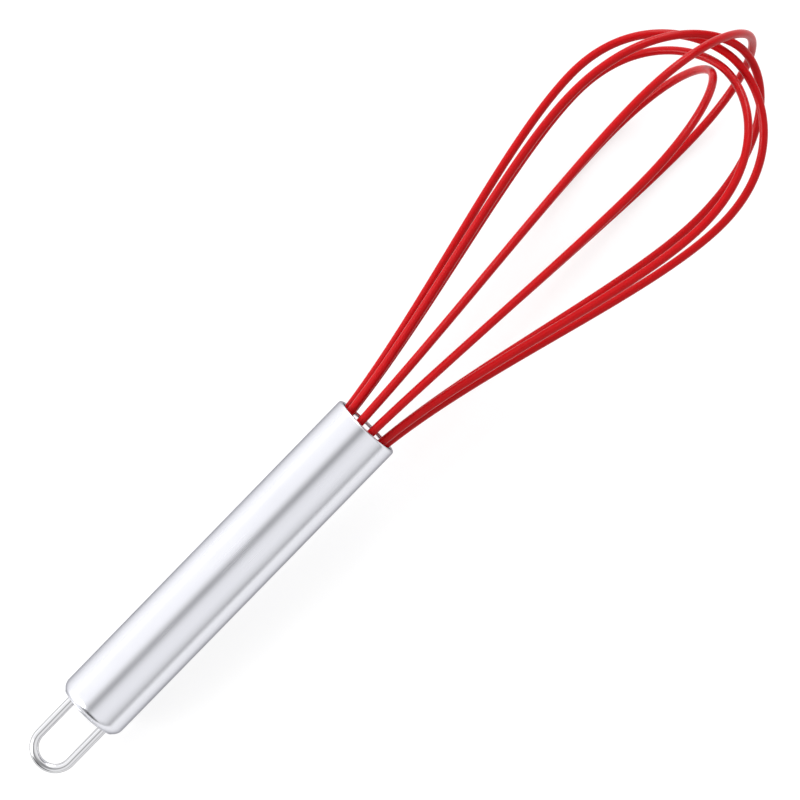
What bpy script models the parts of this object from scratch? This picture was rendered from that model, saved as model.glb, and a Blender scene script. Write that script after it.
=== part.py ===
"""Balloon whisk with silicone sleeves over five wire loops and a tubular steel handle.

Units are metres, +Z is up.  Every piece is modelled along the whisk's own axis: +X runs
from the handle's mouth towards the balloon, and x = 0 is the plane of the mouth.  One empty
then lays the whisk down as it rests on a worktop, on the handle's tail and the two lowest
wires, with the middle of its footprint at the world's origin.
"""
import math
from collections import namedtuple

import bmesh
import bpy
from mathutils import Vector
from mathutils.geometry import interpolate_bezier

MM = 0.001

# Clearance that every piece keeps to its neighbours, how far a cutter runs past what it cuts,
# and the distance below which a turned piece's first and last rows are one.
GAP = 0.3 * MM
CUT_OVERRUN = 2.0 * MM
MERGE_DISTANCE = 0.01 * MM

# Handle: a 7/8 inch tube, rolled in at the mouth and spun over at the tail.
HANDLE_LENGTH = 120.6 * MM
HANDLE_RADIUS = 11.1 * MM
HANDLE_WALL = 0.8 * MM
LIP_RADIUS = 1.2 * MM
SHOULDER_RADIUS = 3.6 * MM
HANDLE_BORE = HANDLE_RADIUS - HANDLE_WALL
TAIL_X = -HANDLE_LENGTH

# Tail cap: closes the spun tail along the same rounded shoulder.
CAP_EDGE_ANGLE = math.radians(60)
SEAM_ANGLE = math.radians(5.7)
CAP_EDGE_THICKNESS = 1.2 * MM
CAP_DOME = 0.2 * MM

# Hanging loop: one U of round wire in the plane of the handle's axis, a little off its middle.
HANGER_WIRE_RADIUS = 1.4 * MM
HANGER_HALF_WIDTH = 6.3 * MM
HANGER_SHIFT = -0.3 * MM
HANGER_REACH = 22.1 * MM
HANGER_HEAD_SCALE = 1.6
HANGER_HEAD_LENGTH = 1.0 * MM
HANGER_NECK_LENGTH = 0.1 * MM
HANGER_BEND_STEPS = 14

# Anchor plate behind the cap, which the headed ends of the hanging loop bear on.
PLATE_DEPTH = 5.4 * MM
PLATE_THICKNESS = 1.4 * MM

# Wire loops: spring wire core inside a silicone sleeve.
CORE_RADIUS = 0.6 * MM
SLEEVE_RADIUS = 1.27 * MM
SLEEVE_WALL = 0.37 * MM
MOUTH_RING_RADIUS = 7.8 * MM
MOUTH_SPLAY = math.radians(7.2)
MOUTH_BEND_DEPTH = 5.5 * MM
MOUTH_BEND_SHARES = (0.4, 0.7)

# Share of the leg's length that each handle of its curve takes, at the mouth and the belly,
# and the same for the rounded end, at the belly and the apex.
LEG_FULLNESS = 0.34
BELLY_FULLNESS = 0.24
SHOULDER_FULLNESS = 0.69
APEX_FULLNESS = 0.40
LEG_STEPS = 9
CROWN_STEPS = 9

# Mouth insert and potting plug: they close the mouth and grip the ten wire ends.
INSERT_FRONT = 1.5 * MM
INSERT_THICKNESS = 3.5 * MM
PLUG_THICKNESS = 16.7 * MM
CORE_TAIL = 2.0 * MM
SLEEVE_END_DEPTH = 4.9 * MM
SLEEVE_HOLE_DRIFT = 0.1 * MM
SLEEVE_HOLE_PLAY = 0.42 * MM
CORE_HOLE_PLAY = 0.35 * MM
EDGE_CHAMFER = 0.3 * MM
INSERT_BACK = INSERT_FRONT + INSERT_THICKNESS
PLUG_FRONT = INSERT_BACK + GAP
PLUG_BACK = PLUG_FRONT + PLUG_THICKNESS

TURN_STEPS = 48
HOLE_SIDES = 16

# One loop lies in a plane through the axis.  plane is that plane's angle, wide and far are its
# half-widths on its first and second leg, belly is where it is widest, reach is its apex, and
# shift is how far the apex sits towards the first leg.
Loop = namedtuple("Loop", "plane wide far belly reach shift")
LOOPS = (
    Loop(math.radians(0), 33.4 * MM, 29.5 * MM, 117.0 * MM, 153.6 * MM, 2.2 * MM),
    Loop(math.radians(34), 35.3 * MM, 30.0 * MM, 113.2 * MM, 149.6 * MM, 3.0 * MM),
    Loop(math.radians(-32.5), 32.7 * MM, 29.7 * MM, 113.1 * MM, 157.4 * MM, 2.4 * MM),
    Loop(math.radians(-73), 32.7 * MM, 33.0 * MM, 124.5 * MM, 161.7 * MM, 1.8 * MM),
    Loop(math.radians(73), 27.2 * MM, 31.5 * MM, 110.4 * MM, 146.3 * MM, -1.2 * MM),
)


def clear_scene():
    """Remove whatever the scene holds, and the data it leaves behind."""
    for item in list(bpy.data.objects):
        bpy.data.objects.remove(item, do_unlink=True)
    for group in list(bpy.data.collections):
        bpy.data.collections.remove(group)


def make_collection(name):
    """Return a new collection linked to the scene."""
    group = bpy.data.collections.new(name)
    bpy.context.scene.collection.children.link(group)
    return group


def make_material(name, color, roughness, metallic):
    """Return a Principled material."""
    material = bpy.data.materials.new(name)
    material.use_nodes = True
    shader = material.node_tree.nodes["Principled BSDF"]
    shader.inputs["Base Color"].default_value = (*color, 1.0)
    shader.inputs["Roughness"].default_value = roughness
    shader.inputs["Metallic"].default_value = metallic
    return material


def place(item, group, axis, material=None):
    """Link an object, parent it to the whisk's axis and give it its material."""
    group.objects.link(item)
    item.parent = axis
    if material is not None:
        item.data.materials.append(material)
    return item


def arc(center, radius, start, end, steps):
    """Points (radius from the axis, height) on an arc from one angle to another."""
    points = []
    for index in range(steps + 1):
        angle = start + (end - start) * index / steps
        points.append((center[0] + radius * math.cos(angle), center[1] + radius * math.sin(angle)))
    return points


def turned(name, profile, group, axis, material, wall=None):
    """Turn a profile about the whisk's axis; wall makes it a shell of that thickness."""
    mesh = bpy.data.meshes.new(name)
    vertices = [(radius, 0.0, height) for radius, height in profile]
    edges = [(index, index + 1) for index in range(len(profile) - 1)]
    mesh.from_pydata(vertices, edges, [])
    item = place(bpy.data.objects.new(name, mesh), group, axis, material)
    item.rotation_euler = (0.0, math.pi / 2, 0.0)
    screw = item.modifiers.new("turn", "SCREW")
    screw.steps = TURN_STEPS
    screw.render_steps = TURN_STEPS
    screw.use_merge_vertices = True
    screw.merge_threshold = MERGE_DISTANCE
    screw.use_smooth_shade = True
    if wall is not None:
        shell = item.modifiers.new("wall", "SOLIDIFY")
        shell.thickness = wall
        shell.offset = -1.0
        shell.use_even_offset = True
    return item


def disc_profile(radius, top, bottom, chamfer):
    """Profile of a solid disc with chamfered edges, from its top centre to its bottom centre."""
    return [
        (0.0, top),
        (radius - chamfer, top),
        (radius, top - chamfer),
        (radius, bottom + chamfer),
        (radius - chamfer, bottom),
        (0.0, bottom),
    ]


def hole_cutter(name, centers, radius, low, high, group, axis):
    """Straight round cutters along the axis, one at each (y, z) centre, as one object."""
    mesh = bpy.data.meshes.new(name)
    work = bmesh.new()
    for center in centers:
        made = bmesh.ops.create_cone(
            work, cap_ends=True, segments=HOLE_SIDES, radius1=radius, radius2=radius, depth=high - low
        )
        bmesh.ops.translate(work, verts=made["verts"], vec=(-center[1], center[0], (low + high) / 2))
    work.to_mesh(mesh)
    work.free()
    item = place(bpy.data.objects.new(name, mesh), group, axis)
    item.rotation_euler = (0.0, math.pi / 2, 0.0)
    item.hide_render = True
    item.display_type = "WIRE"
    return item


def cut(item, cutter):
    """Cut one object's shape out of another."""
    difference = item.modifiers.new("holes", "BOOLEAN")
    difference.operation = "DIFFERENCE"
    difference.solver = "EXACT"
    difference.object = cutter


def wire(name, points, radius, closed_ends, group, axis, material, scales=None):
    """A round wire along a list of points."""
    curve = bpy.data.curves.new(name, "CURVE")
    curve.dimensions = "3D"
    curve.bevel_depth = radius
    curve.bevel_resolution = 2
    curve.use_fill_caps = closed_ends
    spline = curve.splines.new("POLY")
    spline.points.add(len(points) - 1)
    spline.use_smooth = True
    for index, point in enumerate(points):
        spline.points[index].co = (*point, 1.0)
        if scales is not None:
            spline.points[index].radius = scales[index]
    return place(bpy.data.objects.new(name, curve), group, axis, material)


def in_plane(loop, along, across):
    """Point of a loop's plane: along the axis, and across it towards the first leg."""
    return Vector((along, -across * math.cos(loop.plane), across * math.sin(loop.plane)))


def leg_outline(width, side, loop):
    """Bezier knots of one leg and half crown, as (along, across) from the mouth to the apex."""
    mouth = (0.0, side * MOUTH_RING_RADIUS)
    reach = LEG_FULLNESS * loop.belly
    leave = (reach * math.cos(MOUTH_SPLAY), mouth[1] + side * reach * math.sin(MOUTH_SPLAY))
    belly = (loop.belly, side * width)
    before = (belly[0] - BELLY_FULLNESS * loop.belly, belly[1])
    after = (belly[0] + SHOULDER_FULLNESS * (loop.reach - loop.belly), belly[1])
    apex = (loop.reach, loop.shift)
    arrive = (loop.reach, loop.shift + side * APEX_FULLNESS * width)
    return (mouth, leave, before, belly), (belly, after, arrive, apex)


def smooth_run(knots, steps):
    """Points on one Bezier segment of (along, across) knots."""
    first, first_handle, last_handle, last = [Vector((*knot, 0.0)) for knot in knots]
    return [(p.x, p.y) for p in interpolate_bezier(first, first_handle, last_handle, last, steps + 1)]


def inner_ring_radius():
    """Distance from the axis at which the wires run straight inside the handle."""
    return MOUTH_RING_RADIUS - MOUTH_BEND_DEPTH * math.tan(MOUTH_SPLAY) / 2


def hidden_run(side, depth):
    """Points of a leg inside the handle, from its end at a depth up to just below the mouth."""
    straight = side * inner_ring_radius()
    points = [(-depth, straight)]
    if depth > MOUTH_BEND_DEPTH:
        points.append((-MOUTH_BEND_DEPTH, straight))
    rise = side * MOUTH_BEND_DEPTH * math.tan(MOUTH_SPLAY) / 2
    for share in MOUTH_BEND_SHARES:
        points.append((-MOUTH_BEND_DEPTH * (1.0 - share), straight + rise * share ** 2))
    return points


def loop_points(loop, depth):
    """Centre line of a whole loop, from one end inside the handle to the other."""
    halves = []
    for side, width in ((1.0, loop.wide), (-1.0, loop.far)):
        leg, crown = leg_outline(width, side, loop)
        run = hidden_run(side, depth)
        run += smooth_run(leg, LEG_STEPS)
        run += smooth_run(crown, CROWN_STEPS)[1:]
        halves.append(run)
    whole = halves[0] + halves[1][-2::-1]
    return [in_plane(loop, along, across) for along, across in whole]


def wire_seats(ring_radius):
    """Centres (y, z) at which the ten legs pass a plane across the axis."""
    seats = []
    for loop in LOOPS:
        for side in (1.0, -1.0):
            seat = in_plane(loop, 0.0, side * ring_radius)
            seats.append((seat.y, seat.z))
    return seats


def make_handle_tube(group, axis, material):
    """Steel tube, rolled in at the mouth and spun over a rounded shoulder at the tail."""
    lip = arc((HANDLE_RADIUS - LIP_RADIUS, -LIP_RADIUS), LIP_RADIUS, math.pi / 2, 0.0, 4)
    turn = arc(
        (HANDLE_RADIUS - SHOULDER_RADIUS, TAIL_X + SHOULDER_RADIUS),
        SHOULDER_RADIUS, 0.0, SEAM_ANGLE - CAP_EDGE_ANGLE, 5,
    )
    return turned("handle_tube", lip + turn, group, axis, material, HANDLE_WALL)


def hanger_legs():
    """Centres (y, z) of the hanging loop's two legs."""
    return [(HANGER_SHIFT + HANGER_HALF_WIDTH, 0.0), (HANGER_SHIFT - HANGER_HALF_WIDTH, 0.0)]


def make_tail_cap(group, axis, material, cutters):
    """Cap that carries the shoulder on to a nearly flat end, with two holes for the loop."""
    middle = (HANDLE_RADIUS - SHOULDER_RADIUS, TAIL_X + SHOULDER_RADIUS)
    edge = arc(middle, SHOULDER_RADIUS, -CAP_EDGE_ANGLE, -math.pi / 2, 4)
    inner_radius = SHOULDER_RADIUS - CAP_EDGE_THICKNESS
    seat = arc(middle, inner_radius, -CAP_EDGE_ANGLE, -CAP_EDGE_ANGLE, 1)[0]
    profile = [(0.0, seat[1]), seat] + edge + [(0.0, TAIL_X - CAP_DOME)]
    cap = turned("tail_cap", profile, group, axis, material)
    cutter = hole_cutter(
        "tail_cap_cutter", hanger_legs(), HANGER_WIRE_RADIUS + GAP,
        TAIL_X - CUT_OVERRUN, TAIL_X + CAP_EDGE_THICKNESS + CUT_OVERRUN, cutters, axis,
    )
    cut(cap, cutter)
    return cap


def make_hanging_loop(group, axis, material):
    """U-shaped wire whose ends are headed over the anchor plate."""
    bend_x = TAIL_X - HANGER_REACH + HANGER_WIRE_RADIUS + HANGER_HALF_WIDTH
    head_x = TAIL_X + PLATE_DEPTH + PLATE_THICKNESS + GAP
    leg = [
        (head_x + HANGER_HEAD_LENGTH, HANGER_HEAD_SCALE),
        (head_x, HANGER_HEAD_SCALE),
        (head_x - HANGER_NECK_LENGTH, 1.0),
    ]
    left, right = [across for across, _ in hanger_legs()]
    points = [Vector((x, left, 0.0)) for x, _ in leg]
    scales = [scale for _, scale in leg]
    for index in range(HANGER_BEND_STEPS + 1):
        angle = math.pi / 2 + math.pi * index / HANGER_BEND_STEPS
        across = HANGER_SHIFT + HANGER_HALF_WIDTH * math.sin(angle)
        points.append(Vector((bend_x + HANGER_HALF_WIDTH * math.cos(angle), across, 0.0)))
        scales.append(1.0)
    points += [Vector((x, right, 0.0)) for x, _ in reversed(leg)]
    scales += [scale for _, scale in reversed(leg)]
    return wire("hanging_loop", points, HANGER_WIRE_RADIUS, True, group, axis, material, scales)


def make_anchor_plate(group, axis, material, cutters):
    """Plate behind the tail cap, held against the shoulder by the loop's headed ends."""
    low = TAIL_X + PLATE_DEPTH
    high = low + PLATE_THICKNESS
    profile = disc_profile(HANDLE_BORE - GAP, high, low, EDGE_CHAMFER)
    plate = turned("loop_anchor_plate", profile, group, axis, material)
    cutter = hole_cutter(
        "loop_anchor_cutter", hanger_legs(), HANGER_WIRE_RADIUS + GAP,
        low - CUT_OVERRUN, high + CUT_OVERRUN, cutters, axis,
    )
    cut(plate, cutter)
    return plate


def make_mouth_insert(group, axis, material, cutters):
    """Disc just inside the mouth, with a hole for each sleeved leg."""
    profile = disc_profile(HANDLE_BORE - GAP, -INSERT_FRONT, -INSERT_BACK, EDGE_CHAMFER)
    insert = turned("mouth_insert", profile, group, axis, material)
    ring = inner_ring_radius() + SLEEVE_HOLE_DRIFT
    cutter = hole_cutter(
        "mouth_insert_cutter", wire_seats(ring), SLEEVE_RADIUS + SLEEVE_HOLE_PLAY,
        -INSERT_BACK - CUT_OVERRUN, -INSERT_FRONT + CUT_OVERRUN, cutters, axis,
    )
    cut(insert, cutter)
    return insert


def make_potting_plug(group, axis, material, cutters):
    """Plug behind the insert that holds the ten bare wire ends."""
    profile = disc_profile(HANDLE_BORE - GAP, -PLUG_FRONT, -PLUG_BACK, EDGE_CHAMFER)
    plug = turned("potting_plug", profile, group, axis, material)
    cutter = hole_cutter(
        "potting_plug_cutter", wire_seats(inner_ring_radius()), CORE_RADIUS + CORE_HOLE_PLAY,
        -PLUG_BACK - CUT_OVERRUN, -PLUG_FRONT + CUT_OVERRUN, cutters, axis,
    )
    cut(plug, cutter)
    return plug


def make_core_wire(number, loop, group, axis, material):
    """Bare spring wire of one loop, through the potting plug at both ends."""
    points = loop_points(loop, PLUG_BACK + CORE_TAIL)
    return wire(f"core_wire_{number}", points, CORE_RADIUS, True, group, axis, material)


def make_silicone_sleeve(number, loop, group, axis, material):
    """Silicone tube over one loop, ending inside the mouth insert."""
    points = loop_points(loop, SLEEVE_END_DEPTH)
    name = f"silicone_sleeve_{number}"
    sleeve = wire(name, points, SLEEVE_RADIUS, False, group, axis, material)
    shell = sleeve.modifiers.new("wall", "SOLIDIFY")
    shell.thickness = SLEEVE_WALL
    shell.offset = -1.0
    shell.use_even_offset = True
    return sleeve


def rest_tilt():
    """Angle at which the handle's tail and the lowest sleeve touch the same level surface."""
    wires = []
    for loop in LOOPS:
        wires += loop_points(loop, 0.0)
    low, high = 0.0, math.radians(20)
    for _ in range(40):
        tilt = (low + high) / 2
        sine, cosine = math.sin(tilt), math.cos(tilt)
        balloon = min(p.x * sine + p.z * cosine for p in wires) - SLEEVE_RADIUS
        tail = (TAIL_X + SHOULDER_RADIUS) * sine
        tail -= (HANDLE_RADIUS - SHOULDER_RADIUS) * cosine + SHOULDER_RADIUS
        if balloon < tail:
            low = tilt
        else:
            high = tilt
    return tilt


def lay_down(axis, group):
    """Tilt the whisk as it rests, and put the middle of its footprint at the origin."""
    axis.rotation_euler = (0.0, -rest_tilt(), 0.0)
    bpy.context.view_layer.update()
    graph = bpy.context.evaluated_depsgraph_get()
    low = Vector((math.inf,) * 3)
    high = Vector((-math.inf,) * 3)
    for item in group.objects:
        evaluated = item.evaluated_get(graph)
        mesh = evaluated.to_mesh()
        for vertex in mesh.vertices:
            point = evaluated.matrix_world @ vertex.co
            low = Vector(map(min, low, point))
            high = Vector(map(max, high, point))
        evaluated.to_mesh_clear()
    axis.location = -Vector(((low.x + high.x) / 2, (low.y + high.y) / 2, low.z))


def main():
    """Build the whisk."""
    clear_scene()
    parts = make_collection("balloon_whisk")
    cutters = make_collection("cutters")
    axis = bpy.data.objects.new("whisk_axis", None)
    bpy.context.scene.collection.objects.link(axis)

    brushed = make_material("brushed_steel", (0.78, 0.78, 0.80), 0.28, 1.0)
    polished = make_material("polished_steel", (0.80, 0.80, 0.82), 0.10, 1.0)
    pressed = make_material("pressed_steel", (0.72, 0.72, 0.74), 0.35, 1.0)
    spring = make_material("spring_wire", (0.60, 0.60, 0.62), 0.30, 1.0)
    resin = make_material("potting_resin", (0.85, 0.83, 0.76), 0.55, 0.0)
    silicone = make_material("red_silicone", (0.58, 0.005, 0.012), 0.42, 0.0)

    make_handle_tube(parts, axis, brushed)
    make_tail_cap(parts, axis, brushed, cutters)
    make_hanging_loop(parts, axis, polished)
    make_anchor_plate(parts, axis, pressed, cutters)
    make_mouth_insert(parts, axis, pressed, cutters)
    make_potting_plug(parts, axis, resin, cutters)
    for number, loop in enumerate(LOOPS, start=1):
        make_core_wire(number, loop, parts, axis, spring)
        make_silicone_sleeve(number, loop, parts, axis, silicone)
    lay_down(axis, parts)


main()
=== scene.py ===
"""Looks of the balloon whisk: silicone-sleeved wire loops in a satin steel handle.

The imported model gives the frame.  The whisk's own axis is read from two of its discs, and
every new piece is modelled along that axis: local +X runs from the mouth to the balloon,
local x = 0 is the plane of the mouth.  Lengths are in metres.
"""

import math
from collections import namedtuple

import bmesh
import bpy
from mathutils import Matrix, Vector
from mathutils.geometry import interpolate_bezier


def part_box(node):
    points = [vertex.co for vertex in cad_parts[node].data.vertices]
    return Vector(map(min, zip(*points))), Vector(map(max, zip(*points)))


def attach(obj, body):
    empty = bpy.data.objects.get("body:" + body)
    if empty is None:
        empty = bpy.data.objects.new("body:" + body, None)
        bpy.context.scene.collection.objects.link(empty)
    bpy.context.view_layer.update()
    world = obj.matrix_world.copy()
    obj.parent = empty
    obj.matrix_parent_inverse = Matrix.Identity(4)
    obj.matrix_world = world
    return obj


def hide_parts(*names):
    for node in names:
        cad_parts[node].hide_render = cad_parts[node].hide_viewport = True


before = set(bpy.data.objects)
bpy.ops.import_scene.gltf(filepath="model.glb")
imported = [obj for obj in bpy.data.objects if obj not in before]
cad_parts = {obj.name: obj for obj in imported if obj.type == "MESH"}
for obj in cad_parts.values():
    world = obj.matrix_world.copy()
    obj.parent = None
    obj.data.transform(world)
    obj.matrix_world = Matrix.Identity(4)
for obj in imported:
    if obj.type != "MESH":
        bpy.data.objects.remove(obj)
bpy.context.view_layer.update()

MM = 0.001

# Handle, tail cap and mouth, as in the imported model; only the lip is bent a little tighter.
HANDLE_LENGTH = 120.6 * MM
HANDLE_RADIUS = 11.1 * MM
HANDLE_WALL = 0.8 * MM
LIP_RADIUS = 0.9 * MM
SHOULDER_RADIUS = 3.6 * MM
HANDLE_BORE = HANDLE_RADIUS - HANDLE_WALL
TAIL_X = -HANDLE_LENGTH
CAP_EDGE_ANGLE = math.radians(60)
SEAM_ANGLE = math.radians(5.7)
CAP_EDGE_THICKNESS = 1.2 * MM
CAP_DOME = 0.2 * MM

# Hanging loop, with its headed ends behind the anchor plate.
HANGER_WIRE_RADIUS = 1.4 * MM
HANGER_HALF_WIDTH = 6.3 * MM
HANGER_SHIFT = -0.3 * MM
HANGER_REACH = 22.1 * MM
HANGER_HEAD_DEPTH = 7.1 * MM
HANGER_HEAD_LENGTH = 1.0 * MM
HANGER_NECK_LENGTH = 0.1 * MM
HANGER_HEAD_SCALE = 1.6
HANGER_HOLE_PLAY = 0.1 * MM

# Weld in the tail's seam: radius, and how deep its middle lies.  Fillet round each leg of the
# hanging loop: its foot inside the cap, its face outside, its radius and its play on the wire.
SEAM_WELD_RADIUS = 0.24 * MM
SEAM_WELD_DEPTH = 0.10 * MM
FILLET_FOOT = 0.6 * MM
FILLET_FACE = 0.12 * MM
FILLET_RADIUS = 0.30 * MM
FILLET_PLAY = 0.02 * MM

# Sleeves: their wall, how they leave the handle, and their curves' fullness.  That is the share of
# the leg's length that each handle of its curve takes, at the mouth and the belly, and the same for
# the rounded end, at the belly and the apex.
SLEEVE_RADIUS = 1.27 * MM
SLEEVE_BORE = 0.9 * MM
MOUTH_RING_RADIUS = 7.8 * MM
MOUTH_SPLAY = math.radians(7.2)
MOUTH_BEND_DEPTH = 5.5 * MM
SLEEVE_END_DEPTH = 4.9 * MM
LEG_FULLNESS = 0.34
BELLY_FULLNESS = 0.24
SHOULDER_FULLNESS = 0.69
APEX_FULLNESS = 0.40

# Insert that the sleeves pass through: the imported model's front and thickness, then the crown,
# rim, chamfer and holes of the visible one.  Drift is how far out the legs' slant carries them.
INSERT_FRONT = 1.5 * MM
INSERT_THICKNESS = 3.5 * MM
INSERT_PLAY = 0.1 * MM
INSERT_CROWN_DEPTH = 0.4 * MM
INSERT_EASE_DEPTH = 0.9 * MM
INSERT_EASE = 1.1 * MM
INSERT_BACK_CHAMFER = 0.3 * MM
SLEEVE_HOLE_PLAY = 0.25 * MM
SLEEVE_HOLE_DRIFT = 0.1 * MM

# One loop lies in a plane through the axis.  plane is that plane's angle, wide and far are its
# half-widths on its first and second leg, belly is where it is widest, reach is its apex, and
# shift is how far the apex sits towards the first leg.
Loop = namedtuple("Loop", "plane wide far belly reach shift")
LOOPS = (
    Loop(math.radians(0), 33.4 * MM, 29.5 * MM, 117.0 * MM, 153.6 * MM, 2.2 * MM),
    Loop(math.radians(34), 35.3 * MM, 30.0 * MM, 113.2 * MM, 149.6 * MM, 3.0 * MM),
    Loop(math.radians(-32.5), 32.7 * MM, 29.7 * MM, 113.1 * MM, 157.4 * MM, 2.4 * MM),
    Loop(math.radians(-73), 32.7 * MM, 33.0 * MM, 124.5 * MM, 161.7 * MM, 1.8 * MM),
    Loop(math.radians(73), 27.2 * MM, 31.5 * MM, 110.4 * MM, 146.3 * MM, -1.2 * MM),
)

# Sides round the turned pieces, the wires and the holes.
TURN_SIDES = 160
SLEEVE_SIDES = 32
HANGER_SIDES = 32
FILLET_SIDES = 48
HANGER_HOLE_SIDES = 48
SLEEVE_HOLE_SIDES = 40

# Steps along the curves: a loop's leg, rounded end and hidden end, the hanging loop's bend, and
# the profiles of the handle, cap, insert and welds.
LEG_STEPS = 56
CROWN_STEPS = 60
HIDDEN_STEPS = 8
HANGER_BEND_STEPS = 64
LIP_STEPS = 14
LIP_EDGE_STEPS = 12
INNER_LIP_STEPS = 8
SHOULDER_STEPS = 18
INNER_SHOULDER_STEPS = 10
CAP_ARC_STEPS = 12
DOME_STEPS = 8
RIM_STEPS = 12
SEAM_WELD_STEPS = 16
FILLET_STEPS = 8
TUBE_ROW_SHARES = (0.2, 0.4, 0.6, 0.8)

# Drills: how far they run past a back, past the insert's front and into the cap.
DRILL_OVERRUN = 2.0 * MM
INSERT_DRILL_FRONT = 1.0 * MM
CAP_DRILL_DEPTH = 4.0 * MM

# Angle between faces above which an edge stays sharp, and the same for welds and sleeves.
SHARP_DEGREES = 40.0
ROUND_SHARP_DEGREES = 60.0

# Camera: straight above the whisk, turned so that the whisk points up and to the right.
CAMERA_PLACE = (2.13 * MM, 0.38 * MM, 1662.4 * MM)
CAMERA_TURN = math.radians(45.714)
CAMERA_LENS_MM = 248.3
CAMERA_SENSOR_MM = 36.0
CAMERA_CLIP_END = 20.0


# ---------------------------------------------------------------- frame of the whisk's axis

def box_center(node):
    """Middle of a CAD node's box."""
    low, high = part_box(node)
    return (low + high) / 2


def axis_matrix():
    """Matrix from the whisk's own axis to the row frame, from the insert and the anchor plate."""
    front = box_center("mouth_insert")
    back = box_center("loop_anchor_plate")
    along = (front - back).normalized()
    mouth = front + along * (INSERT_FRONT + INSERT_THICKNESS / 2)
    side = Vector((0.0, 1.0, 0.0))
    up = along.cross(side)
    turn = Matrix((along, side, up)).transposed().to_4x4()
    return Matrix.Translation(mouth) @ turn


AXIS = axis_matrix()


# ---------------------------------------------------------------- mesh tools

def finish_mesh(name, work, material, sharp_degrees=SHARP_DEGREES):
    """Turn a bmesh of the whisk's own axis into an object of the row frame."""
    bmesh.ops.transform(work, matrix=AXIS, verts=work.verts)
    bmesh.ops.recalc_face_normals(work, faces=work.faces)
    mesh = bpy.data.meshes.new(name)
    work.to_mesh(mesh)
    work.free()
    mesh.shade_smooth()
    mesh.set_sharp_from_angle(angle=math.radians(sharp_degrees))
    mesh.materials.append(material)
    piece = bpy.data.objects.new(name, mesh)
    bpy.context.scene.collection.objects.link(piece)
    return piece


def arc(center, radius, start, end, steps):
    """Points (x along the axis, radius from it) on an arc.  Angle 0 points away from the axis."""
    points = []
    for index in range(steps + 1):
        points.append(arc_point(center, radius, start + (end - start) * index / steps))
    return points


def arc_point(center, radius, angle):
    """The one point (x along the axis, radius from it) of an arc at an angle."""
    return (center[0] + radius * math.sin(angle), center[1] + radius * math.cos(angle))


def ring(work, x, radius, sides, middle=(0.0, 0.0)):
    """One ring of vertices across the axis."""
    made = []
    for index in range(sides):
        angle = math.tau * index / sides
        y = middle[0] + radius * math.cos(angle)
        z = middle[1] + radius * math.sin(angle)
        made.append(work.verts.new((x, y, z)))
    return made


def join_rings(work, first, second):
    """Quads between two rings of the same count."""
    count = len(first)
    for index in range(count):
        after = (index + 1) % count
        work.faces.new((first[index], first[after], second[after], second[index]))


def close_ring(work, row, x, middle=(0.0, 0.0)):
    """Fan from a ring to a vertex on its middle."""
    tip = work.verts.new((x, middle[0], middle[1]))
    for index in range(len(row)):
        work.faces.new((row[index], row[(index + 1) % len(row)], tip))


def lathe_solid(profile, sides=TURN_SIDES, middle=(0.0, 0.0)):
    """Solid of revolution: the profile's first and last points lie on the axis."""
    work = bmesh.new()
    rows = [ring(work, x, radius, sides, middle) for x, radius in profile[1:-1]]
    for first, second in zip(rows, rows[1:]):
        join_rings(work, first, second)
    close_ring(work, rows[0], profile[0][0], middle)
    close_ring(work, rows[-1], profile[-1][0], middle)
    return work


def lathe_closed(profile, sides=TURN_SIDES, middle=(0.0, 0.0)):
    """Body of revolution whose profile is a closed outline clear of the axis."""
    work = bmesh.new()
    rows = [ring(work, x, radius, sides, middle) for x, radius in profile]
    for index, row in enumerate(rows):
        join_rings(work, row, rows[(index + 1) % len(rows)])
    return work


def drill(piece, seats, radius, low, high, sides):
    """Cut round holes along the axis into a piece, with clean edges."""
    work = bmesh.new()
    for seat in seats:
        made = bmesh.ops.create_cone(
            work, cap_ends=True, segments=sides, radius1=radius, radius2=radius, depth=high - low
        )
        bmesh.ops.rotate(work, verts=made["verts"], matrix=Matrix.Rotation(math.pi / 2, 3, "Y"))
        bmesh.ops.translate(work, verts=made["verts"], vec=((low + high) / 2, seat[0], seat[1]))
    bmesh.ops.transform(work, matrix=AXIS, verts=work.verts)
    mesh = bpy.data.meshes.new("drill")
    work.to_mesh(mesh)
    work.free()
    cutter = bpy.data.objects.new("drill", mesh)
    bpy.context.scene.collection.objects.link(cutter)
    bore = piece.modifiers.new("holes", "BOOLEAN")
    bore.operation = "DIFFERENCE"
    bore.solver = "EXACT"
    bore.object = cutter
    bpy.context.view_layer.update()
    graph = bpy.context.evaluated_depsgraph_get()
    drilled = bpy.data.meshes.new_from_object(piece.evaluated_get(graph))
    piece.modifiers.clear()
    piece.data = drilled
    drilled.shade_smooth()
    drilled.set_sharp_from_angle(angle=math.radians(SHARP_DEGREES))
    bpy.data.objects.remove(cutter)
    return piece


def sweep(points, side_axis, radii, sides, scales=None):
    """Rings of vertices along a flat path.  side_axis is the normal of the path's plane."""
    scales = scales or [1.0] * len(points)
    work = bmesh.new()
    shells = [[] for _ in radii]
    for index, point in enumerate(points):
        before = points[max(index - 1, 0)]
        after = points[min(index + 1, len(points) - 1)]
        out = (after - before).normalized().cross(side_axis)
        for shell, radius in zip(shells, radii):
            row = []
            for step in range(sides):
                angle = math.tau * step / sides
                offset = out * math.cos(angle) + side_axis * math.sin(angle)
                row.append(work.verts.new(point + offset * radius * scales[index]))
            shell.append(row)
    return work, shells


def hollow_sweep(points, side_axis, outer, inner, sides):
    """Tube wall along a flat path, open at both ends."""
    work, (outside, inside) = sweep(points, side_axis, (outer, inner), sides)
    for shell in (outside, inside):
        for first, second in zip(shell, shell[1:]):
            join_rings(work, first, second)
    for end in (0, -1):
        join_rings(work, outside[end], inside[end])
    return work


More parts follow.
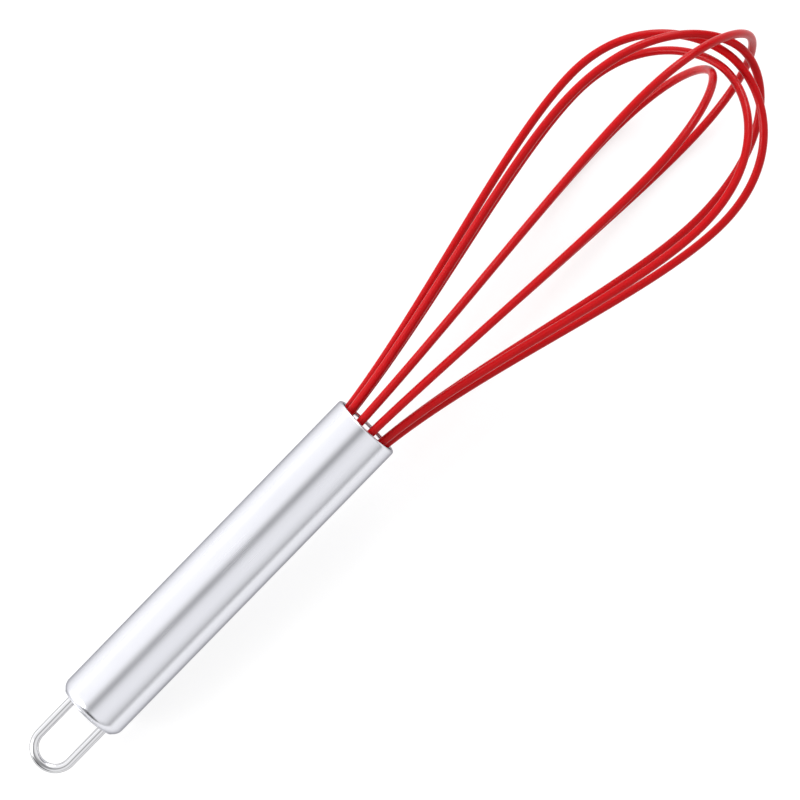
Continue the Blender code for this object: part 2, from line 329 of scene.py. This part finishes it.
def solid_sweep(points, side_axis, radius, sides, scales):
    """Round wire along a flat path, with flat ends."""
    work, (outside,) = sweep(points, side_axis, (radius,), sides, scales)
    for first, second in zip(outside, outside[1:]):
        join_rings(work, first, second)
    work.faces.new(outside[0])
    work.faces.new(outside[-1])
    return work


# ---------------------------------------------------------------- wire loops

def leg_outline(width, side, loop):
    """Bezier knots of one leg and half crown, as (along, across) from the mouth to the apex."""
    mouth = (0.0, side * MOUTH_RING_RADIUS)
    reach = LEG_FULLNESS * loop.belly
    leave = (reach * math.cos(MOUTH_SPLAY), mouth[1] + side * reach * math.sin(MOUTH_SPLAY))
    belly = (loop.belly, side * width)
    before = (belly[0] - BELLY_FULLNESS * loop.belly, belly[1])
    after = (belly[0] + SHOULDER_FULLNESS * (loop.reach - loop.belly), belly[1])
    apex = (loop.reach, loop.shift)
    arrive = (loop.reach, loop.shift + side * APEX_FULLNESS * width)
    return (mouth, leave, before, belly), (belly, after, arrive, apex)


def smooth_run(knots, steps):
    """Points on one Bezier segment of (along, across) knots."""
    first, first_handle, last_handle, last = [Vector((*knot, 0.0)) for knot in knots]
    points = interpolate_bezier(first, first_handle, last_handle, last, steps + 1)
    return [(point.x, point.y) for point in points]


def hidden_run(side, depth):
    """Points of a leg inside the handle, from its end at a depth up to just below the mouth."""
    rise = side * MOUTH_BEND_DEPTH * math.tan(MOUTH_SPLAY) / 2
    straight = side * MOUTH_RING_RADIUS - rise
    points = []
    for index in range(HIDDEN_STEPS):
        x = -depth + depth * index / HIDDEN_STEPS
        share = max(0.0, 1.0 + x / MOUTH_BEND_DEPTH)
        points.append((x, straight + rise * share ** 2))
    return points


def in_plane(loop, along, across):
    """Point of a loop's plane: along the axis, and across it towards the first leg."""
    return Vector((along, -across * math.cos(loop.plane), across * math.sin(loop.plane)))


def plane_normal(loop):
    """Unit normal of a loop's plane."""
    return Vector((0.0, math.sin(loop.plane), math.cos(loop.plane)))


def loop_points(loop, depth):
    """Centre line of a whole loop, from one end inside the handle to the other."""
    halves = []
    for side, width in ((1.0, loop.wide), (-1.0, loop.far)):
        leg, crown = leg_outline(width, side, loop)
        run = hidden_run(side, depth)
        run += smooth_run(leg, LEG_STEPS)
        run += smooth_run(crown, CROWN_STEPS)[1:]
        halves.append(run)
    whole = halves[0] + halves[1][-2::-1]
    return [in_plane(loop, along, across) for along, across in whole]


def sleeve_seats():
    """Centres (y, z) at which the ten sleeved legs pass the insert."""
    radius = MOUTH_RING_RADIUS - MOUTH_BEND_DEPTH * math.tan(MOUTH_SPLAY) / 2 + SLEEVE_HOLE_DRIFT
    seats = []
    for loop in LOOPS:
        for side in (1.0, -1.0):
            seat = in_plane(loop, 0.0, side * radius)
            seats.append((seat.y, seat.z))
    return seats


# ---------------------------------------------------------------- material tools

def new_material(name):
    """Material with an empty node tree but for its Principled shader and output."""
    material = bpy.data.materials.new(name)
    material.use_nodes = True
    return material, material.node_tree, material.node_tree.nodes["Principled BSDF"]


def add(tree, kind, **settings):
    """New node with the given properties."""
    node = tree.nodes.new(kind)
    for key, value in settings.items():
        setattr(node, key, value)
    return node


def scaled_place(tree, scale):
    """Place along the whisk's own axis, scaled per axis of it."""
    place = add(tree, "ShaderNodeTexCoord")
    level = add(tree, "ShaderNodeMapping")
    level.inputs["Rotation"].default_value = AXIS.inverted().to_euler()
    mapping = add(tree, "ShaderNodeMapping")
    mapping.inputs["Scale"].default_value = scale
    tree.links.new(place.outputs["Object"], level.inputs["Vector"])
    tree.links.new(level.outputs["Vector"], mapping.inputs["Vector"])
    return mapping.outputs["Vector"]


def noise(tree, vector, detail, roughness=0.5):
    """Noise value at a place, whose scale is the noise's."""
    node = add(tree, "ShaderNodeTexNoise")
    node.inputs["Scale"].default_value = 1.0
    node.inputs["Detail"].default_value = detail
    node.inputs["Roughness"].default_value = roughness
    tree.links.new(vector, node.inputs["Vector"])
    return node.outputs["Fac"]


def remap(tree, value, low, high, from_low=0.3, from_high=0.7):
    """A value moved from one range to another."""
    node = add(tree, "ShaderNodeMapRange")
    node.inputs["From Min"].default_value = from_low
    node.inputs["From Max"].default_value = from_high
    node.inputs["To Min"].default_value = low
    node.inputs["To Max"].default_value = high
    tree.links.new(value, node.inputs["Value"])
    return node.outputs["Result"]


def mix_colors(tree, factor, first, second):
    """Colour between two by a factor."""
    node = add(tree, "ShaderNodeMix", data_type="RGBA")
    node.inputs["A"].default_value = (*first, 1.0)
    node.inputs["B"].default_value = (*second, 1.0)
    tree.links.new(factor, node.inputs["Factor"])
    return node.outputs["Result"]


def bump(tree, height, strength, distance):
    """Normal from a height."""
    node = add(tree, "ShaderNodeBump")
    node.inputs["Strength"].default_value = strength
    node.inputs["Distance"].default_value = distance
    tree.links.new(height, node.inputs["Height"])
    return node.outputs["Normal"]


# ---------------------------------------------------------------- materials

# How much of a grazing reflection each steel keeps: worked tube, polished wire and bright sheet.
WORKED_EDGE = (0.30, 0.30, 0.32, 1.0)
WIRE_EDGE = (0.04, 0.04, 0.05, 1.0)
SHEET_EDGE = (1.0, 1.0, 1.0, 1.0)
# Steel's clouds of tone, the share of the roughness that the grain gives, and the grain's depth.
STEEL_CLOUD_SCALE = (60.0, 90.0, 90.0)
GRAIN_SHARE = 0.6
GRAIN_DEPTH = 0.02 * MM

SILICONE_DARK = (0.365, 0.0004, 0.0018)
SILICONE_LIGHT = (0.440, 0.0009, 0.0030)
SILICONE_CLOUD_SCALE = (120.0, 160.0, 160.0)
SILICONE_TEXTURE_SCALE = (900.0, 2200.0, 2200.0)
SILICONE_TEXTURE_DEPTH = 0.03 * MM
SILICONE_TEXTURE_STRENGTH = 0.02
SILICONE_ROUGHNESS = (0.27, 0.33)
SILICONE_IOR = 1.25

RESIN_DARK = (0.74, 0.71, 0.62)
RESIN_LIGHT = (0.86, 0.84, 0.77)
RESIN_MOTTLE_SCALE = (300.0, 300.0, 300.0)
RESIN_MOTTLE_DEPTH = 0.05 * MM
RESIN_MOTTLE_STRENGTH = 0.2
RESIN_ROUGHNESS = (0.45, 0.65)


def steel_material(name, light, dark, roughness, grain_scale, grain_strength, edge=WORKED_EDGE):
    """Steel with grain along the whisk, uneven polish and faint stains of tone."""
    material, tree, shader = new_material(name)
    shader.inputs["Metallic"].default_value = 1.0
    shader.inputs["Specular Tint"].default_value = edge
    grain = noise(tree, scaled_place(tree, grain_scale), detail=4.0, roughness=0.6)
    cloud = noise(tree, scaled_place(tree, STEEL_CLOUD_SCALE), detail=2.0)
    tree.links.new(mix_colors(tree, cloud, dark, light), shader.inputs["Base Color"])
    smooth, rough = roughness
    by_grain = (rough - smooth) * GRAIN_SHARE
    by_cloud = (rough - smooth) * (1.0 - GRAIN_SHARE)
    wear = add(tree, "ShaderNodeMath", operation="ADD")
    tree.links.new(remap(tree, grain, 0.0, by_grain), wear.inputs[0])
    tree.links.new(remap(tree, cloud, smooth, smooth + by_cloud), wear.inputs[1])
    tree.links.new(wear.outputs[0], shader.inputs["Roughness"])
    tree.links.new(bump(tree, grain, grain_strength, GRAIN_DEPTH), shader.inputs["Normal"])
    return material


def silicone_material():
    """Red silicone: deep colour, soft gloss that varies, fine moulding texture."""
    material, tree, shader = new_material("red_silicone_look")
    cloud = noise(tree, scaled_place(tree, SILICONE_CLOUD_SCALE), detail=2.0)
    color = mix_colors(tree, cloud, SILICONE_DARK, SILICONE_LIGHT)
    fine = noise(tree, scaled_place(tree, SILICONE_TEXTURE_SCALE), detail=3.0)
    normal = bump(tree, fine, SILICONE_TEXTURE_STRENGTH, SILICONE_TEXTURE_DEPTH)
    tree.links.new(color, shader.inputs["Base Color"])
    tree.links.new(remap(tree, fine, *SILICONE_ROUGHNESS), shader.inputs["Roughness"])
    tree.links.new(normal, shader.inputs["Normal"])
    shader.inputs["IOR"].default_value = SILICONE_IOR
    return material


def resin_material():
    """Cast resin of the hidden plug: milky, slightly mottled."""
    material, tree, shader = new_material("potting_resin_look")
    mottle = noise(tree, scaled_place(tree, RESIN_MOTTLE_SCALE), detail=4.0)
    color = mix_colors(tree, mottle, RESIN_DARK, RESIN_LIGHT)
    normal = bump(tree, mottle, RESIN_MOTTLE_STRENGTH, RESIN_MOTTLE_DEPTH)
    tree.links.new(color, shader.inputs["Base Color"])
    tree.links.new(remap(tree, mottle, *RESIN_ROUGHNESS), shader.inputs["Roughness"])
    tree.links.new(normal, shader.inputs["Normal"])
    return material


BRUSHED = steel_material(
    "brushed_steel_look",
    light=(0.745, 0.750, 0.790),
    dark=(0.715, 0.720, 0.760),
    roughness=(0.21, 0.29),
    grain_scale=(25.0, 2600.0, 2600.0),
    grain_strength=0.08,
)
POLISHED = steel_material(
    "polished_steel_look",
    light=(0.72, 0.72, 0.73),
    dark=(0.68, 0.68, 0.70),
    roughness=(0.03, 0.06),
    grain_scale=(200.0, 900.0, 900.0),
    grain_strength=0.03,
    edge=WIRE_EDGE,
)
PRESSED = steel_material(
    "pressed_steel_look",
    light=(0.96, 0.96, 0.97),
    dark=(0.92, 0.92, 0.93),
    roughness=(0.12, 0.22),
    grain_scale=(500.0, 500.0, 500.0),
    grain_strength=0.10,
    edge=SHEET_EDGE,
)
SPRING = steel_material(
    "spring_wire_look",
    light=(0.66, 0.66, 0.68),
    dark=(0.56, 0.56, 0.58),
    roughness=(0.25, 0.35),
    grain_scale=(60.0, 3000.0, 3000.0),
    grain_strength=0.15,
)
SILICONE = silicone_material()
RESIN = resin_material()


# ---------------------------------------------------------------- pieces

def settle(piece, slot, *nodes):
    """Ride a finished piece on the whisk's one body and hide the imported nodes it stands for."""
    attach(piece, "root")
    if nodes:
        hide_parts(*nodes)
    return piece


def handle_outline():
    """Closed profile of the handle's wall, out along the outside and back along the inside."""
    lip = (-LIP_RADIUS, HANDLE_RADIUS - LIP_RADIUS)
    turn = (TAIL_X + SHOULDER_RADIUS, HANDLE_RADIUS - SHOULDER_RADIUS)
    quarter = math.pi / 2
    edge = CAP_EDGE_ANGLE - SEAM_ANGLE
    outside = arc(lip, LIP_RADIUS, quarter, 0.0, LIP_STEPS)
    outside += [(TAIL_X * share, HANDLE_RADIUS) for share in TUBE_ROW_SHARES]
    outside += arc(turn, SHOULDER_RADIUS, 0.0, -edge, SHOULDER_STEPS)
    inside = arc(turn, SHOULDER_RADIUS - HANDLE_WALL, -edge, 0.0, INNER_SHOULDER_STEPS)
    inside += arc(lip, LIP_RADIUS - HANDLE_WALL, 0.0, quarter, INNER_LIP_STEPS)
    edge_middle = (-HANDLE_WALL / 2, HANDLE_RADIUS - LIP_RADIUS)
    rolled = arc(edge_middle, HANDLE_WALL / 2, 3 * quarter, quarter, LIP_EDGE_STEPS)[1:-1]
    return outside + inside + rolled


def make_handle():
    """Satin tube with its rolled mouth and spun tail."""
    piece = finish_mesh("handle_tube_fine", lathe_closed(handle_outline()), BRUSHED)
    return settle(piece, "brushed_steel", "handle_tube")


def make_tail_cap():
    """Tail cap that carries the shoulder on to a nearly flat end."""
    turn = (TAIL_X + SHOULDER_RADIUS, HANDLE_RADIUS - SHOULDER_RADIUS)
    inner = arc_point(turn, SHOULDER_RADIUS - CAP_EDGE_THICKNESS, -CAP_EDGE_ANGLE)
    profile = [(inner[0], 0.0), inner]
    profile += arc(turn, SHOULDER_RADIUS, -CAP_EDGE_ANGLE, -math.pi / 2, CAP_ARC_STEPS)
    flat = HANDLE_RADIUS - SHOULDER_RADIUS
    for step in range(1, DOME_STEPS):
        share = 1.0 - step / DOME_STEPS
        profile.append((TAIL_X - CAP_DOME * (1.0 - share ** 2), flat * share))
    profile.append((TAIL_X - CAP_DOME, 0.0))
    piece = finish_mesh("tail_cap_fine", lathe_solid(profile), BRUSHED)
    bore = HANGER_WIRE_RADIUS + HANGER_HOLE_PLAY
    drill(piece, hanger_legs(), bore, TAIL_X - DRILL_OVERRUN, TAIL_X + CAP_DRILL_DEPTH, HANGER_HOLE_SIDES)
    return settle(piece, "brushed_steel", "tail_cap")


def make_tail_weld():
    """Ground weld that fills the seam between the tube and its cap, a hair below both."""
    turn = (TAIL_X + SHOULDER_RADIUS, HANDLE_RADIUS - SHOULDER_RADIUS)
    middle = arc_point(turn, SHOULDER_RADIUS - SEAM_WELD_DEPTH, SEAM_ANGLE / 2 - CAP_EDGE_ANGLE)
    profile = []
    for step in range(SEAM_WELD_STEPS):
        angle = math.tau * step / SEAM_WELD_STEPS
        along = middle[0] + SEAM_WELD_RADIUS * math.cos(angle)
        out = middle[1] + SEAM_WELD_RADIUS * math.sin(angle)
        profile.append((along, out))
    piece = finish_mesh("tail_weld", lathe_closed(profile), BRUSHED, ROUND_SHARP_DEGREES)
    return settle(piece, "brushed_steel")


def hanger_legs():
    """How far (y, z) the hanging loop's two legs lie off the axis."""
    return [(HANGER_SHIFT + HANGER_HALF_WIDTH, 0.0), (HANGER_SHIFT - HANGER_HALF_WIDTH, 0.0)]


def hanger_path():
    """Centre line of the hanging loop between its two headed ends, and its scale along it."""
    bend_x = TAIL_X - HANGER_REACH + HANGER_WIRE_RADIUS + HANGER_HALF_WIDTH
    head_x = TAIL_X + HANGER_HEAD_DEPTH
    end = [
        (head_x + HANGER_HEAD_LENGTH, HANGER_HEAD_SCALE),
        (head_x, HANGER_HEAD_SCALE),
        (head_x - HANGER_NECK_LENGTH, 1.0),
        (TAIL_X, 1.0),
    ]
    left, right = [across for across, _ in hanger_legs()]
    points = [Vector((x, left, 0.0)) for x, _ in end]
    scales = [scale for _, scale in end]
    for index in range(HANGER_BEND_STEPS + 1):
        angle = math.pi / 2 + math.pi * index / HANGER_BEND_STEPS
        across = HANGER_SHIFT + HANGER_HALF_WIDTH * math.sin(angle)
        points.append(Vector((bend_x + HANGER_HALF_WIDTH * math.cos(angle), across, 0.0)))
        scales.append(1.0)
    points += [Vector((x, right, 0.0)) for x, _ in reversed(end)]
    scales += [scale for _, scale in reversed(end)]
    return points, scales


def make_hanging_loop():
    """Polished wire U at the tail, headed behind the anchor plate."""
    points, scales = hanger_path()
    work = solid_sweep(points, Vector((0.0, 0.0, 1.0)), HANGER_WIRE_RADIUS, HANGER_SIDES, scales)
    piece = finish_mesh("hanging_loop_fine", work, POLISHED)
    return settle(piece, "polished_steel", "hanging_loop")


def make_hanger_welds():
    """Small weld fillet where each leg of the hanging loop leaves the cap."""
    inner = HANGER_WIRE_RADIUS + FILLET_PLAY
    for name, leg in zip(("hanger_weld_left", "hanger_weld_right"), hanger_legs()):
        outline = [(TAIL_X + FILLET_FOOT, inner)]
        for step in range(FILLET_STEPS + 1):
            angle = math.pi / 2 * step / FILLET_STEPS
            rise = FILLET_RADIUS * (1.0 - math.sin(angle))
            out = FILLET_RADIUS * (1.0 - math.cos(angle))
            outline.append((TAIL_X - FILLET_FACE - rise, inner + out))
        outline.append((TAIL_X + FILLET_FOOT, inner + FILLET_RADIUS))
        piece = finish_mesh(name, lathe_closed(outline, FILLET_SIDES, leg), BRUSHED)
        settle(piece, "brushed_steel")


def make_mouth_insert():
    """Pressed disc behind the lip, crowned, with an eased rim and a hole for each sleeve."""
    radius = HANDLE_BORE - INSERT_PLAY
    back = -INSERT_FRONT - INSERT_THICKNESS
    flat = radius - INSERT_EASE
    profile = [(-INSERT_CROWN_DEPTH, 0.0)]
    for step in range(1, DOME_STEPS):
        share = step / DOME_STEPS
        sink = (INSERT_EASE_DEPTH - INSERT_CROWN_DEPTH) * share ** 3
        profile.append((-INSERT_CROWN_DEPTH - sink, flat * share))
    rim = (-INSERT_EASE_DEPTH - INSERT_EASE, flat)
    profile += arc(rim, INSERT_EASE, math.pi / 2, 0.0, RIM_STEPS)
    profile.append((back + INSERT_BACK_CHAMFER, radius))
    profile.append((back, radius - INSERT_BACK_CHAMFER))
    profile.append((back, 0.0))
    piece = finish_mesh("mouth_insert_fine", lathe_solid(profile), PRESSED)
    bore = SLEEVE_RADIUS + SLEEVE_HOLE_PLAY
    drill(piece, sleeve_seats(), bore, back - DRILL_OVERRUN, INSERT_DRILL_FRONT, SLEEVE_HOLE_SIDES)
    return settle(piece, "pressed_steel", "mouth_insert")


def make_sleeve(number, loop):
    """Silicone sleeve of one loop."""
    points = loop_points(loop, SLEEVE_END_DEPTH)
    work = hollow_sweep(points, plane_normal(loop), SLEEVE_RADIUS, SLEEVE_BORE, SLEEVE_SIDES)
    piece = finish_mesh(f"silicone_sleeve_{number}_fine", work, SILICONE, ROUND_SHARP_DEGREES)
    return settle(piece, "red_silicone", f"silicone_sleeve_{number}")


def dress_hidden_nodes():
    """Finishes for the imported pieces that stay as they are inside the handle."""
    looks = {"loop_anchor_plate": PRESSED, "potting_plug": RESIN}
    looks.update({f"core_wire_{number}": SPRING for number in range(1, len(LOOPS) + 1)})
    for node, material in looks.items():
        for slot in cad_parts[node].material_slots:
            slot.material = material


# ---------------------------------------------------------------- stage

# Floor: radius in metres, sides, tone, roughness and how strongly it is lit from below.
FLOOR_RADIUS = 4.0
FLOOR_SIDES = 96
FLOOR_TONE = 0.34
FLOOR_ROUGHNESS = 0.4
FLOOR_GLOW = 0.68


def make_floor():
    """Pale floor that is partly lit from below, as a light table is."""
    material, _, shader = new_material("floor_paper")
    shader.inputs["Base Color"].default_value = (FLOOR_TONE, FLOOR_TONE, FLOOR_TONE, 1.0)
    shader.inputs["Roughness"].default_value = FLOOR_ROUGHNESS
    shader.inputs["Emission Color"].default_value = (1.0, 1.0, 1.0, 1.0)
    shader.inputs["Emission Strength"].default_value = FLOOR_GLOW
    work = bmesh.new()
    bmesh.ops.create_circle(work, cap_ends=True, segments=FLOOR_SIDES, radius=FLOOR_RADIUS)
    mesh = bpy.data.meshes.new("floor")
    work.to_mesh(mesh)
    work.free()
    mesh.materials.append(material)
    floor = bpy.data.objects.new("floor", mesh)
    bpy.context.scene.collection.objects.link(floor)


# Brightness of the studio round the whisk's length: degrees from straight up towards +Y, value.
STUDIO = (
    (-90, 0.25), (-80, 0.45), (-70, 0.84), (-60, 0.98), (-45, 1.09), (-22, 1.07), (-10, 0.89), (-3, 0.49),
    (3, 0.34), (9, 0.48), (17, 0.94), (27, 1.18), (60, 1.22), (70, 1.30), (76, 1.62), (90, 1.62),
)
# Brightness of a full white in the studio's colours, and how much stronger its blue is.
STUDIO_PEAK = 2.0
STUDIO_COOLNESS = 1.01
# Two key panels on the +Y side, fore and aft of the whisk: brightness, and where they fade in.
KEY_VALUE = 10.0
KEY_ALONG = (0.50, 0.62)
KEY_RISE = (math.radians(28), math.radians(38))
KEY_FALL = (math.radians(80), math.radians(68))
# Towards the balloon the gap overhead closes: brightness, and where it fades in.
CLOSED_VALUE = 1.05
CLOSED_ALONG = (0.42, 0.56)
CLOSED_ACROSS = (math.radians(40), math.radians(22))
# The studio is dark at both ends of the whisk's length: where it fades, and its brightness.
DARK_END = (0.80, 0.90)
DARK_END_VALUE = 0.05
# A pale backdrop stands all round the horizon: brightness, and how high it reaches.
BACKDROP_VALUE = 1.04
BACKDROP_RISE = (0.09, 0.04)


def absolute(tree, value):
    """A value without its sign."""
    node = add(tree, "ShaderNodeMath", operation="ABSOLUTE")
    tree.links.new(value, node.inputs[0])
    return node.outputs[0]


def product(tree, first, second):
    """Two values multiplied."""
    node = add(tree, "ShaderNodeMath", operation="MULTIPLY")
    tree.links.new(first, node.inputs[0])
    tree.links.new(second, node.inputs[1])
    return node.outputs[0]


def blend_to_value(tree, factor, color, value):
    """A colour that turns into a grey value by a factor."""
    node = add(tree, "ShaderNodeMix", data_type="RGBA")
    node.inputs["B"].default_value = (value, value, value, 1.0)
    tree.links.new(factor, node.inputs["Factor"])
    tree.links.new(color, node.inputs["A"])
    return node.outputs["Result"]


def studio_ramp(tree, angle):
    """Colour of the studio by the angle round the whisk's length."""
    ramp = add(tree, "ShaderNodeValToRGB")
    ramp.color_ramp.interpolation = "EASE"
    elements = ramp.color_ramp.elements
    while len(elements) > 1:
        elements.remove(elements[-1])
    for index, (degrees, value) in enumerate(STUDIO):
        position = (degrees + 180) / 360
        element = elements[0] if index == 0 else elements.new(position)
        element.position = position
        shade = value / STUDIO_PEAK
        element.color = (shade, shade, shade * STUDIO_COOLNESS, 1.0)
    tree.links.new(remap(tree, angle, 0.0, 1.0, -math.pi, math.pi), ramp.inputs["Fac"])
    return ramp.outputs["Color"]


def make_studio():
    """White studio: bright sides, a darker gap overhead, dark ends, key panels and a backdrop."""
    world = bpy.data.worlds.new("studio")
    bpy.context.scene.world = world
    world.use_nodes = True
    tree = world.node_tree
    sky = tree.nodes["Background"]
    place = add(tree, "ShaderNodeTexCoord")
    parts = add(tree, "ShaderNodeSeparateXYZ")
    tree.links.new(place.outputs["Generated"], parts.inputs["Vector"])
    turn = add(tree, "ShaderNodeMath", operation="ARCTAN2")
    tree.links.new(parts.outputs["Y"], turn.inputs[0])
    tree.links.new(parts.outputs["Z"], turn.inputs[1])
    angle = turn.outputs[0]
    ends = absolute(tree, parts.outputs["X"])
    key = remap(tree, ends, 0.0, 1.0, *KEY_ALONG)
    key = product(tree, key, remap(tree, angle, 0.0, 1.0, *KEY_RISE))
    key = product(tree, key, remap(tree, angle, 0.0, 1.0, *KEY_FALL))
    closed = remap(tree, parts.outputs["X"], 0.0, 1.0, *CLOSED_ALONG)
    closed = product(tree, closed, remap(tree, absolute(tree, angle), 0.0, 1.0, *CLOSED_ACROSS))
    sides = studio_ramp(tree, angle)
    roof = blend_to_value(tree, closed, sides, CLOSED_VALUE / STUDIO_PEAK)
    lit = blend_to_value(tree, key, roof, KEY_VALUE / STUDIO_PEAK)
    dim = remap(tree, ends, 0.0, 1.0, *DARK_END)
    room = blend_to_value(tree, dim, lit, DARK_END_VALUE / STUDIO_PEAK)
    low = remap(tree, parts.outputs["Z"], 0.0, 1.0, *BACKDROP_RISE)
    whole = blend_to_value(tree, low, room, BACKDROP_VALUE / STUDIO_PEAK)
    tree.links.new(whole, sky.inputs["Color"])
    sky.inputs["Strength"].default_value = STUDIO_PEAK


def make_camera():
    """Camera straight above the whisk."""
    data = bpy.data.cameras.new("camera")
    data.sensor_width = CAMERA_SENSOR_MM
    data.lens = CAMERA_LENS_MM
    data.clip_end = CAMERA_CLIP_END
    camera = bpy.data.objects.new("camera", data)
    camera.location = CAMERA_PLACE
    camera.rotation_euler = (0.0, 0.0, -CAMERA_TURN)
    bpy.context.scene.collection.objects.link(camera)
    bpy.context.scene.camera = camera


make_handle()
make_tail_cap()
make_tail_weld()
make_hanging_loop()
make_hanger_welds()
make_mouth_insert()
for loop_number, wire_loop in enumerate(LOOPS, start=1):
    make_sleeve(loop_number, wire_loop)
dress_hidden_nodes()
make_floor()
make_studio()
make_camera()
# Colours are shown as they are, without a film's tone curve.
bpy.context.scene.view_settings.view_transform = "Standard"
